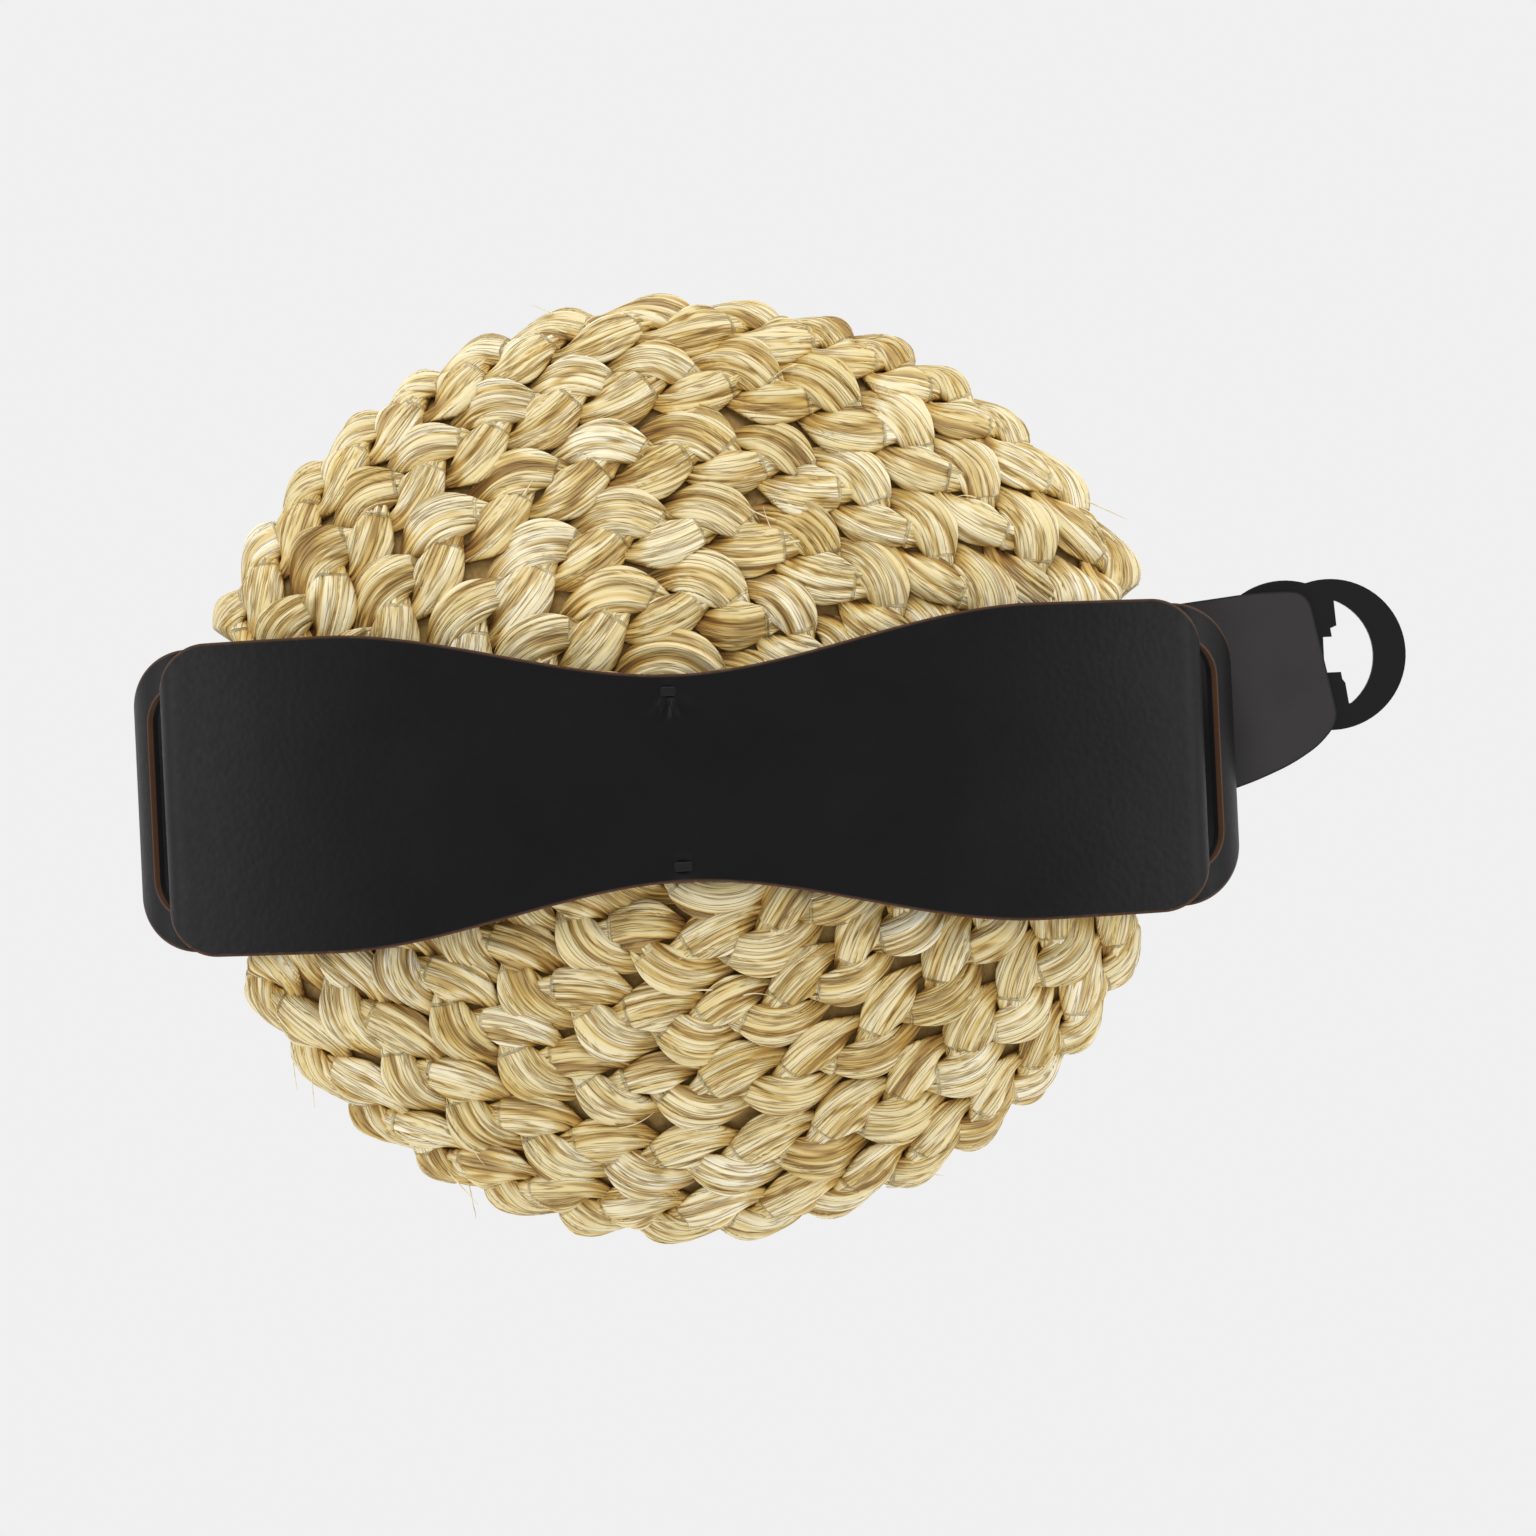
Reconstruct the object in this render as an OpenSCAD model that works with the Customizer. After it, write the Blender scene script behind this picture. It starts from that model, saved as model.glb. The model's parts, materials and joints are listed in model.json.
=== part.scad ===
// Waist belt with a domed, coiled-straw medallion. It lies folded, the way it is packed: the bow
// strap crosses the dome, and both arms are tucked under it.
// X runs along the belt, Y across it, Z up. The origin is on the table under the dome's centre.

/* [Straw medallion] */
// Diameter of the coil of plaited straw at its rim
coil_d = 153; // [150:0.5:153]
// Height of the crown above the table
crown_z = 48; // [47.8:0.1:48.2]
// Radius of the dome that the rows of plait follow
dome_r = 152.6; // [152:0.1:153]
// Height of the coil's lower edge above the table
rim_z = 25; // [24.9:0.1:25.2]
// Rows of plait from the centre to the rim
row_count = 7; // [5:1:9]
// Radius across which one row's back is rounded
row_r = 15.6; // [12:0.2:22]
// Diameter of the foam, board and lining under the straw
core_d = 132; // [128:1:132]

/* [Bow strap] */
// Position of the belt's centre line across the medallion
strap_y = -1.5; // [-3:0.5:3]
// Width of the strap at its waist, over the crown
waist_w = 31; // [24:1:36]
// Width of the strap near the rim
bow_w = 48; // [44:1:52]
// Distance from the centre over which the strap flares
flare_x = 54; // [40:1:60]
// Thickness of the leather with its lining
leather_t = 1.8; // [1.6:0.1:1.8]
// Outside radius of the turn round the arm's bar
fold_r = 6; // [5.9:0.1:6.2]
// Height of the centre of that turn
fold_z = 24; // [23.8:0.1:24.2]
// Width of the tongue that passes through the arm's slot
tongue_w = 33; // [28:1:34]
// Distance from the centre at which the tongue ends
tongue_in = 50; // [46:1:54]

/* [Arms] */
// Height of the bar at the arm's end
bar_z = 22.2; // [22:0.1:22.4]
// Diameter of the steel bar
bar_d = 2.4; // [2:0.1:2.4]
// Diameter of the leather roll round the bar
roll_d = 4.2; // [4:0.1:4.4]
// Width of the arm's slotted end
head_w = 47; // [44:1:50]
// Width of the slot
slot_w = 36; // [35:1:38]
// Length of the slot along the belt, seen from above
slot_l = 6.9; // [6.5:0.1:7.2]
// Radius of the arm's sweep from the bar down to the knee
sweep_r = 13.7; // [13.6:0.1:14.2]
// Height of the knee, where the arm turns under
knee_z = 8.7; // [8.6:0.1:8.9]
// Width of the arm
arm_w = 26; // [22:1:28]
// Greatest width of the arm's bend, seen through the slot
bend_w = 38; // [36:1:40]
// Thickness of the elastic bands
elastic_t = 1; // [1:0.1:1.1]
// Height of the underside of the right arm, which lies on the left one
right_z = 3.1; // [3.1:0.1:3.4]

/* [Closure] */
// Thickness of the closure plate, a little less than the elastic's
plate_t = 0.95; // [0.8:0.05:0.95]
// Radius of the plate's eye
eye_r = 12.1; // [11.5:0.1:12.5]
// Radius of the plate's inner lobe, which turns on the rivet
lobe_r = 12; // [11:0.1:12.2]
// Width of the notch that holds the hook's neck
notch_w = 5.7; // [5.5:0.1:6]
// Thickness of the hook plate
hook_t = 1.2; // [1:0.1:1.4]
// Length of the hook's crossbar, which passes through the eye
bar_l = 14; // [12:0.5:15]
// Diameter of the closure's rivets
rivet_d = 3.6; // [3:0.1:4]

/* [Hidden] */
$fn = 96;
big_fn = 240;

STRAW = "#dccb95";
BLACK = "#1c1c1e";
LINING = "#4a4848";
STEEL = "#9a9a9a";

dome_z = crown_z - dome_r;
shell_t = 5.1;
row_angle = 29.5 / (row_count - 0.5);
bead_r = 1.5;
board_z = 20.6;
board_t = 2.2;
lining_t = 0.8;
foam_z = board_z + board_t;
half_t = leather_t / 2;

// The strap lies 0.2 mm above the straw, so its outer surface is a circle round the dome's centre
strap_r = dome_r + 0.2 + leather_t;
fold_x = sqrt(pow(strap_r - fold_r, 2) - pow(fold_z - dome_z, 2));
fold_a = atan2(fold_x, fold_z - dome_z);
end_x = fold_x + fold_r;
corner_r = 8;
corner_x = end_x - corner_r;
tongue_z = fold_z - fold_r;
tongue_hole_d = 3;
tongue_rivet_x = 58;
tongue_rivet_y = 9;

// The arm's sweep passes through the bar's centre and is upright at the knee
sweep_x = fold_x - sqrt(pow(sweep_r, 2) - pow(bar_z - knee_z, 2));
sweep_a = atan2(bar_z - knee_z, fold_x - sweep_x);
wall_x = sweep_x + sweep_r + half_t;
head_corner_r = 10.5;
slot_x = fold_x + roll_d / 2 + 0.04;
slot_corner_r = 6;
knee_gap = 0.04;
run_fit = 0.05;
lap_x = 66;
lap_l = 6;

tab_x = 52;
tab_mid_y = 4;
right_lap_x = 34;
hook_x = 20;
lobe_at = [96.4, 13.5];
eye_at = [103.6, 13.3];

function smooth(t) = t * t * (3 - 2 * t);
function bow_half(x) = waist_w / 2 + (bow_w - waist_w) / 2 * smooth(min(abs(x) / flare_x, 1));

// Turns a flat XZ outline into a slab across the belt
module across(w) {
    translate([0, strap_y, 0])
        rotate([90, 0, 0])
            linear_extrude(w, center = true)
                children();
}

// Piece of a ring round the origin, between two angles
module ring_piece(r_in, r_out, from, to, fn = $fn) {
    intersection() {
        difference() {
            circle(r_out, $fn = fn);
            circle(r_in, $fn = fn);
        }
        polygon(concat([[0, 0]],
            [for (i = [0:4]) let (a = from + (to - from) * i / 4) 1.6 * r_out * [cos(a), sin(a)]]));
    }
}

module on_right(right) {
    mirror([right ? 0 : 1, 0, 0]) children();
}

// ---- Straw medallion

module straw_coil() {
    color(STRAW)
        rotate_extrude($fn = 144)
            intersection() {
                translate([0, rim_z]) square([coil_d, crown_z]);
                difference() {
                    union() {
                        intersection() {
                            translate([0, dome_z])
                                for (i = [0:row_count - 1])
                                    rotate(-row_angle * i)
                                        translate([0, dome_r - row_r]) circle(row_r);
                            square([coil_d / 2 - bead_r, crown_z]);
                            translate([0, dome_z]) circle(dome_r, $fn = big_fn);
                        }
                        translate([coil_d / 2 - bead_r, rim_z + bead_r]) circle(bead_r);
                        translate([coil_d / 2 - 2 * bead_r - 4, rim_z]) square([4 + bead_r, bead_r]);
                    }
                    translate([0, dome_z]) circle(dome_r - shell_t, $fn = big_fn);
                    translate([0, 0]) square([core_d / 2 + 0.2, rim_z + 1]);
                }
            }
}

module foam_core() {
    color("#d8d8d0")
        difference() {
            rotate_extrude($fn = 144)
                intersection() {
                    translate([0, foam_z]) square([core_d / 2, crown_z]);
                    translate([0, dome_z]) circle(dome_r - shell_t - 0.1, $fn = big_fn);
                }
            tongue_rivet_places(foam_z - 1, 1.6, 7.2);
        }
}

module disc_with_holes(d, z, t) {
    difference() {
        translate([0, 0, z]) cylinder(d = d, h = t, $fn = 144);
        tongue_rivet_places(z - 1, t + 2, tongue_hole_d);
    }
}

module backing_board() {
    color("#b39a72") disc_with_holes(core_d, board_z, board_t);
}

module lining_disc() {
    color(LINING) disc_with_holes(core_d - 1, board_z - lining_t, lining_t);
}

// ---- Bow strap

module bow_plan() {
    steps = 12;
    side = [for (i = [-steps:steps]) corner_x * i / steps];
    polygon(concat([for (x = side) [x, bow_half(x)]], [for (x = side) [-x, -bow_half(x)]]));
    square([2 * end_x, bow_w - 2 * corner_r], center = true);
    for (sx = [-1, 1], sy = [-1, 1])
        translate([sx * corner_x, sy * (bow_w / 2 - corner_r)]) circle(corner_r);
}

// Everything inside the strap's surface at one depth, seen from the side
module bow_filled(depth) {
    intersection() {
        translate([0, dome_z]) circle(strap_r - depth, $fn = big_fn);
        translate([0, dome_z])
            polygon([[0, 0], 2 * strap_r * [-sin(fold_a), cos(fold_a)], 2 * strap_r * [sin(fold_a), cos(fold_a)]]);
        translate([-end_x, fold_z - 1]) square([2 * end_x, 2 * crown_z]);
    }
    for (s = [-1, 1])
        translate([s * fold_x, fold_z]) circle(fold_r - depth);
    translate([-fold_x, tongue_z + depth]) square([2 * fold_x, fold_r - depth]);
}

module bow_layer(depth) {
    difference() {
        intersection() {
            across(2 * bow_w)
                difference() {
                    bow_filled(depth);
                    bow_filled(depth + half_t);
                    translate([-tongue_in, tongue_z - 1]) square([2 * tongue_in, fold_r]);
                }
            union() {
                translate([0, strap_y, fold_z]) linear_extrude(crown_z) bow_plan();
                translate([-2 * end_x, strap_y - tongue_w / 2, 0]) cube([4 * end_x, tongue_w, fold_z]);
            }
        }
        tongue_rivet_places(tongue_z - 1, leather_t + 2, tongue_hole_d);
    }
}

module bow_face() {
    color(BLACK) bow_layer(0);
}

module bow_lining() {
    color(LINING) bow_layer(half_t);
}

// Thread staple that holds the strap's waist down on the straw
module tack(y) {
    tack_l = 3;
    thread_r = 0.35;
    leg = 4;
    top_z = dome_z + strap_r + thread_r;
    color(BLACK)
        translate([0, strap_y + y, top_z]) {
            rotate([0, 90, 0]) cylinder(r = thread_r, h = tack_l, center = true, $fn = 24);
            for (s = [-1, 1])
                translate([s * (tack_l / 2 - thread_r), 0, -leg]) cylinder(r = thread_r, h = leg, $fn = 24);
        }
}

module upper_tack() {
    tack(13);
}

module lower_tack() {
    tack(-13);
}

module tongue_rivet_spots(sides) {
    for (s = sides, t = [-1, 1])
        translate([s * tongue_rivet_x, strap_y + t * tongue_rivet_y, 0]) children();
}

module tongue_rivet_places(z, h, d) {
    tongue_rivet_spots([-1, 1]) translate([0, 0, z]) cylinder(d = d, h = h);
}

module tongue_rivets(side) {
    head_d = 7;
    color(STEEL)
        tongue_rivet_spots([side]) {
            translate([0, 0, tongue_z - 1]) cylinder(d1 = head_d - 1.6, d2 = head_d, h = 0.5);
            translate([0, 0, tongue_z - 0.5]) cylinder(d = head_d, h = 0.5);
            translate([0, 0, tongue_z]) cylinder(d = tongue_hole_d, h = foam_z - tongue_z);
            translate([0, 0, foam_z]) cylinder(d = head_d, h = 0.6);
        }
}

module left_tongue_rivets() {
    tongue_rivets(-1);
}

module right_tongue_rivets() {
    tongue_rivets(1);
}

// ---- Slotted arm ends, drawn on the right and mirrored for the left

module end_plan(from_x) {
    body_x = wall_x - head_corner_r;
    translate([from_x, -head_w / 2]) square([body_x - from_x, head_w]);
    translate([from_x, -head_w / 2 + head_corner_r])
        square([wall_x - from_x, head_w - 2 * head_corner_r]);
    for (s = [-1, 1])
        translate([body_x, s * (head_w / 2 - head_corner_r)]) circle(head_corner_r);
}

module head_plan() {
    difference() {
        end_plan(sweep_x);
        slot_plan();
    }
}

module slot_plan() {
    round_x = slot_x + slot_l - slot_corner_r;
    round_y = slot_w / 2 - slot_corner_r;
    translate([slot_x, -slot_w / 2]) square([round_x - slot_x, slot_w]);
    translate([slot_x, -round_y]) square([slot_l, 2 * round_y]);
    intersection() {
        for (s = [-1, 1])
            translate([round_x, s * round_y]) circle(slot_corner_r);
        translate([slot_x, -slot_w]) square(2 * slot_w);
    }
}

// Seen from the end, the head narrows evenly from the bar to the knee
module head_end_view() {
    wide = head_w / 2;
    narrow = arm_w / 2;
    polygon([
        [-narrow, knee_z], [narrow, knee_z], [narrow, knee_z + 0.2], [wide, knee_z + 11.3],
        [wide, fold_z + 8], [-wide, fold_z + 8], [-wide, knee_z + 11.3], [-narrow, knee_z + 0.2],
    ]);
}

module head_layer(r_in, r_out) {
    intersection() {
        across(head_w + 2)
            translate([sweep_x, knee_z]) ring_piece(r_in, r_out, 0, sweep_a);
        translate([0, strap_y, 0]) linear_extrude(fold_z + 8) head_plan();
        translate([0, strap_y, 0])
            rotate([90, 0, 90]) linear_extrude(2 * wall_x) head_end_view();
    }
}

module bar_place(d, l) {
    translate([fold_x, strap_y, bar_z]) rotate([90, 0, 0]) cylinder(d = d, h = l, center = true);
}

module head_face() {
    color(BLACK)
        difference() {
            union() {
                head_layer(sweep_r, sweep_r + half_t);
                bar_place(roll_d, head_w);
            }
            bar_place(bar_d + 2 * run_fit, head_w + 2);
        }
}

module head_lining() {
    color(LINING)
        difference() {
            head_layer(sweep_r - half_t, sweep_r);
            bar_place(roll_d, head_w + 2);
        }
}

module bar_rod() {
    color(STEEL) bar_place(bar_d, head_w);
}

module left_head_face() {
    on_right(false) head_face();
}

module left_head_lining() {
    on_right(false) head_lining();
}

module left_bar_rod() {
    on_right(false) bar_rod();
}

module right_head_face() {
    head_face();
}

module right_head_lining() {
    head_lining();
}

module right_bar_rod() {
    bar_rod();
}

// ---- Knee bends, from the upright wall round to the flat reach, drawn on the right

module bend_layer(bottom_z, depth) {
    bend_r = knee_z - knee_gap - bottom_z;
    bend_x = wall_x - bend_r;
    intersection() {
        across(bend_w) {
            translate([bend_x, knee_z - knee_gap])
                ring_piece(bend_r - depth - half_t, bend_r - depth, 270, 360);
            translate([lap_x, bottom_z + depth]) square([bend_x - lap_x, half_t]);
        }
        translate([0, strap_y, 0]) linear_extrude(fold_z) end_plan(lap_x);
    }
}

module left_bend_face() {
    color(BLACK) on_right(false) bend_layer(elastic_t, 0);
}

module left_bend_lining() {
    color(LINING) on_right(false) bend_layer(elastic_t, half_t);
}

module right_bend_face() {
    color(BLACK) bend_layer(right_z + elastic_t, 0);
}

module right_bend_lining() {
    color(LINING) bend_layer(right_z + elastic_t, half_t);
}

// ---- Elastics, stitched under the leather at both ends

module stitches(x, mid_y, bottom_z) {
    stitch_l = 2.2;
    stitch_w = 0.5;
    stitch_t = 0.4;
    pitch = 3.4;
    for (dx = [-1.2, 1.2], i = [-3:3])
        translate([x + dx - stitch_w / 2, mid_y + i * pitch - stitch_l / 2, bottom_z])
            cube([stitch_w, stitch_l, stitch_t]);
}

module left_lap_stitches() {
    color(BLACK) stitches(-lap_x - lap_l / 2, strap_y, 0);
}

module tab_lap_stitches() {
    color(BLACK) stitches(tab_x + lap_l / 2, tab_mid_y - 0.2, 0);
}

module right_lap_stitches() {
    color(BLACK) stitches(lap_x + lap_l / 2, strap_y, right_z);
}

module hook_lap_stitches() {
    color(BLACK) stitches(right_lap_x + lap_l / 2, strap_y, right_z);
}

module left_elastic() {
    from_x = -lap_x - lap_l;
    to_x = tab_x + lap_l;
    color(BLACK)
        difference() {
            linear_extrude(elastic_t)
                polygon([
                    [from_x, strap_y - arm_w / 2], [to_x, tab_mid_y - arm_w / 2],
                    [to_x, tab_mid_y + arm_w / 2], [from_x, strap_y + arm_w / 2],
                ]);
            left_lap_stitches();
            tab_lap_stitches();
        }
}

module right_elastic() {
    color(BLACK)
        difference() {
            translate([right_lap_x, strap_y - arm_w / 2, right_z])
                cube([lap_x + lap_l - right_lap_x, arm_w, elastic_t]);
            right_lap_stitches();
            hook_lap_stitches();
        }
}

// ---- Tail tab, which lies on the closure plate with its lining side up

module tab_plan() {
    polygon([
        [tab_x, 17.5], [78, 22.3], [92, 23.7], [100.2, 23.6],
        [104.3, 2.7], [101.1, -1.1], [96.4, -4], [90, -6.6], [78, -10], [tab_x, -9.5],
    ]);
}

module tab_layer(z) {
    translate([0, 0, z]) linear_extrude(half_t) tab_plan();
}

module closure_rivet_place(z, h, d) {
    translate([lobe_at.x, lobe_at.y, z]) cylinder(d = d, h = h);
}

rivet_head_d = 7;
rivet_head_t = 0.35;
rivet_z = 0.05;

module tab_face() {
    color(BLACK)
        difference() {
            tab_layer(elastic_t);
            closure_rivet_place(0, 5, rivet_d);
        }
}

module tab_lining() {
    color(LINING)
        difference() {
            tab_layer(elastic_t + half_t);
            closure_rivet_place(elastic_t, half_t + rivet_head_t, rivet_head_d);
        }
}

module closure_rivet() {
    color(STEEL) {
        closure_rivet_place(rivet_z, rivet_head_t, rivet_head_d);
        closure_rivet_place(rivet_z, elastic_t + half_t - rivet_z, rivet_d);
        closure_rivet_place(elastic_t + half_t, rivet_head_t, rivet_head_d);
    }
}

// ---- Closure plate: an eye with a notch in its straight side, turning on the rivet

module eye_opening() {
    lean = 5.9;
    notch_x = 102.6;
    intersection() {
        translate([eye_at.x - 2.7, eye_at.y - 0.2]) circle(9.6);
        translate([105.3, eye_at.y]) rotate(lean) translate([0, -15]) square([15, 30]);
    }
    translate([notch_x, eye_at.y - notch_w / 2]) square([4, notch_w]);
}

module closure_plate() {
    color(BLACK)
        difference() {
            linear_extrude(plate_t)
                difference() {
                    union() {
                        translate(lobe_at) circle(lobe_r);
                        translate(eye_at) circle(eye_r);
                    }
                    eye_opening();
                }
            closure_rivet_place(-1, plate_t + 2, rivet_d + 2 * run_fit);
            closure_rivet_place(-1, 1 + rivet_z + rivet_head_t + run_fit, rivet_head_d + 2 * run_fit);
        }
}

// ---- Hook on the right arm

module hook_tab_plan() {
    wide = arm_w / 2;
    nose_r = 7;
    translate([0, strap_y]) {
        polygon([
            [hook_x, -nose_r], [30, -wide], [right_lap_x + lap_l, -wide],
            [right_lap_x + lap_l, wide], [30, wide], [hook_x, nose_r],
        ]);
        translate([hook_x, 0]) circle(nose_r);
    }
}

module hook_rivet_place(z, h, d) {
    translate([hook_x, strap_y, z]) cylinder(d = d, h = h);
}

hook_tab_z = right_z + elastic_t;

module hook_tab_face() {
    color(BLACK)
        difference() {
            translate([0, 0, hook_tab_z]) linear_extrude(half_t) hook_tab_plan();
            hook_rivet_place(hook_tab_z - 1, rivet_head_t + 1, rivet_head_d);
            hook_rivet_place(hook_tab_z - 1, 5, rivet_d);
        }
}

module hook_tab_lining() {
    color(LINING)
        difference() {
            translate([0, 0, hook_tab_z + half_t]) linear_extrude(half_t) hook_tab_plan();
            hook_rivet_place(hook_tab_z, 5, rivet_d);
        }
}

hook_z = hook_tab_z + leather_t + run_fit;

module hook_plate() {
    base_r = 5.5;
    neck_w = 5;
    crossbar_x = 2;
    crossbar_w = 4;
    color(BLACK)
        difference() {
            translate([0, strap_y, hook_z])
                linear_extrude(hook_t) {
                    translate([hook_x, 0]) circle(base_r);
                    translate([crossbar_x + 1, -neck_w / 2]) square([hook_x - crossbar_x - 1, neck_w]);
                    translate([crossbar_x, -bar_l / 2 + crossbar_w / 2])
                        square([crossbar_w, bar_l - crossbar_w]);
                    for (s = [-1, 1])
                        translate([crossbar_x + crossbar_w / 2, s * (bar_l - crossbar_w) / 2])
                            circle(d = crossbar_w);
                }
            hook_rivet_place(hook_z - 1, hook_t + 2, rivet_d + 2 * run_fit);
        }
}

module hook_rivet() {
    top = hook_z + hook_t + run_fit;
    color(STEEL) {
        hook_rivet_place(hook_tab_z, rivet_head_t, rivet_head_d);
        hook_rivet_place(hook_tab_z, top - hook_tab_z, rivet_d);
        hook_rivet_place(top, 0.6, rivet_head_d);
    }
}

straw_coil();
foam_core();
backing_board();
lining_disc();
bow_face();
bow_lining();
upper_tack();
lower_tack();
left_tongue_rivets();
right_tongue_rivets();
left_head_face();
left_head_lining();
left_bar_rod();
right_head_face();
right_head_lining();
right_bar_rod();
left_bend_face();
left_bend_lining();
left_elastic();
left_lap_stitches();
tab_face();
tab_lining();
tab_lap_stitches();
closure_rivet();
closure_plate();
right_bend_face();
right_bend_lining();
right_elastic();
right_lap_stitches();
hook_tab_face();
hook_tab_lining();
hook_lap_stitches();
hook_rivet();
hook_plate();
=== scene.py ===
import json
import math

import bmesh
import bpy
import numpy as np
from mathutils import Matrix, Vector


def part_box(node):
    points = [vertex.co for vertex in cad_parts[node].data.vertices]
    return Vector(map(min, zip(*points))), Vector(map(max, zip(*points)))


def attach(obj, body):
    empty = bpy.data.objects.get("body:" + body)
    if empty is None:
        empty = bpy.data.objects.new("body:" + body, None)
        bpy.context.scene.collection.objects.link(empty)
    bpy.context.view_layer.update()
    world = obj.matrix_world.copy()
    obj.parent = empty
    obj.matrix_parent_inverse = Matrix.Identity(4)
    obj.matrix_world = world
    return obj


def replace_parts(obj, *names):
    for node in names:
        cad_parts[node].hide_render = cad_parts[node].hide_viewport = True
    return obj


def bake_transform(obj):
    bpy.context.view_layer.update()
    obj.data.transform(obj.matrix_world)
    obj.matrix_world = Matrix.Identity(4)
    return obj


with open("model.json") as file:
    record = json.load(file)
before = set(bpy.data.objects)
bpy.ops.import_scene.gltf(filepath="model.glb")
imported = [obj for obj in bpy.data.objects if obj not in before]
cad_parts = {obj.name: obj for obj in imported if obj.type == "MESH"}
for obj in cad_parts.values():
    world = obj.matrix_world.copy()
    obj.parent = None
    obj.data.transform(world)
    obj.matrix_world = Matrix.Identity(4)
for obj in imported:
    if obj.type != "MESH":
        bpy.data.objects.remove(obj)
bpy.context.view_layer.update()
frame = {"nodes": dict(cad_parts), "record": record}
mm = 0.001


# ---- small tools

def hexToLinear(code):
    channels = [int(code[i:i + 2], 16) / 255 for i in (1, 3, 5)]
    return tuple(c / 12.92 if c <= 0.04045 else ((c + 0.055) / 1.055) ** 2.4 for c in channels) + (1.0,)


def addNode(tree, kind, settings=None, links=None):
    node = tree.nodes.new(kind)
    for key, value in (settings or {}).items():
        if key in node.inputs:
            node.inputs[key].default_value = value
        else:
            setattr(node, key, value)
    for key, source in (links or {}).items():
        tree.links.new(source, node.inputs[key])
    return node


def newMaterial(name):
    material = bpy.data.materials.new(name)
    material.use_nodes = True
    material.node_tree.nodes.clear()
    return material, material.node_tree


def setRamp(node, stops):
    ramp = node.color_ramp
    while len(ramp.elements) < len(stops):
        ramp.elements.new(0.5)
    for element, (place, colour) in zip(ramp.elements, stops):
        element.position = place
        element.color = hexToLinear(colour) if isinstance(colour, str) else (colour, colour, colour, 1)


def finishMaterial(tree, shader):
    addNode(tree, "ShaderNodeOutputMaterial", links={"Surface": shader.outputs[0]})


def pieceFromMesh(name, mesh, material):
    piece = bpy.data.objects.new(name, mesh)
    bpy.context.scene.collection.objects.link(piece)
    mesh.materials.append(material)
    for polygon in mesh.polygons:
        polygon.use_smooth = True
    return piece


def pieceFromBmesh(name, bm, material):
    mesh = bpy.data.meshes.new(name)
    bm.to_mesh(mesh)
    bm.free()
    return pieceFromMesh(name, mesh, material)


def getCoords(mesh):
    coords = np.empty(len(mesh.vertices) * 3, dtype=np.float32)
    mesh.vertices.foreach_get("co", coords)
    return coords.reshape(-1, 3).astype(np.float64)


def setCoords(mesh, coords):
    mesh.vertices.foreach_set("co", coords.astype(np.float32).ravel())
    mesh.update()


def setAttribute(mesh, name, values):
    layer = mesh.attributes.new(name, "FLOAT", "POINT")
    layer.data.foreach_set("value", np.asarray(values, dtype=np.float32))


def smoothNoise(x, y, seed):
    # Random values on a grid, blended smoothly in between, from -1 to 1
    cellX, cellY = np.floor(x), np.floor(y)
    fx, fy = x - cellX, y - cellY
    fx, fy = fx * fx * (3 - 2 * fx), fy * fy * (3 - 2 * fy)

    def corner(dx, dy):
        value = np.sin((cellX + dx) * 127.1 + (cellY + dy) * 311.7 + seed * 74.7) * 43758.5453
        return value - np.floor(value)

    low = corner(0, 0) * (1 - fx) + corner(1, 0) * fx
    high = corner(0, 1) * (1 - fx) + corner(1, 1) * fx
    return 2 * (low * (1 - fy) + high * fy) - 1


# ---- camera, floor and lights

cameraSettings = {"place": (12.9, -0.6, 700), "turn": -2.7, "lens": 102.4, "sensor": 36}


def makeCamera():
    data = bpy.data.cameras.new("camera")
    data.lens = cameraSettings["lens"]
    data.sensor_width = cameraSettings["sensor"]
    data.clip_start = 0.01
    camera = bpy.data.objects.new("camera", data)
    camera.location = [v * mm for v in cameraSettings["place"]]
    camera.rotation_euler = (0, 0, math.radians(cameraSettings["turn"]))
    bpy.context.scene.collection.objects.link(camera)
    bpy.context.scene.camera = camera


lightSettings = {
    "world": ("#ffffff", 0.66),
    # name: place in mm, size in mm, watts
    "top": ((0, 850, 520), 600, 5.0),
    "left": ((-900, 60, 260), 450, 2.7),
    "right": ((900, 60, 260), 450, 2.7),
    "front": ((0, -850, 520), 600, 3.0),
}


def makeFloorAndLights():
    bm = bmesh.new()
    bmesh.ops.create_grid(bm, x_segments=1, y_segments=1, size=3)
    material, tree = newMaterial("paperSweepLit")  # paper lit so evenly that nothing casts a shadow on it
    finishMaterial(tree, addNode(tree, "ShaderNodeEmission",
                                 {"Color": hexToLinear("#f0f0f0"), "Strength": 1.0}))
    bmesh.ops.translate(bm, verts=bm.verts, vec=(0, 0, -0.1 * mm))
    floor = pieceFromBmesh("floor", bm, material)
    for name in ("top", "left", "right", "front"):
        place, size, watts = lightSettings[name]
        data = bpy.data.lights.new(name, "AREA")
        data.size = size * mm
        data.energy = watts
        lamp = bpy.data.objects.new(name, data)
        lamp.location = [v * mm for v in place]
        lamp.rotation_euler = (-Vector(lamp.location)).to_track_quat("-Z", "Y").to_euler()
        bpy.context.scene.collection.objects.link(lamp)
    world = bpy.data.worlds.new("studio")
    bpy.context.scene.world = world
    world.use_nodes = True
    background = world.node_tree.nodes["Background"]
    background.inputs["Color"].default_value = hexToLinear(lightSettings["world"][0])
    background.inputs["Strength"].default_value = lightSettings["world"][1]


makeCamera()
makeFloorAndLights()
bpy.context.scene.view_settings.view_transform = "Standard"
print("stage ready")


# ---- materials

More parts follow.
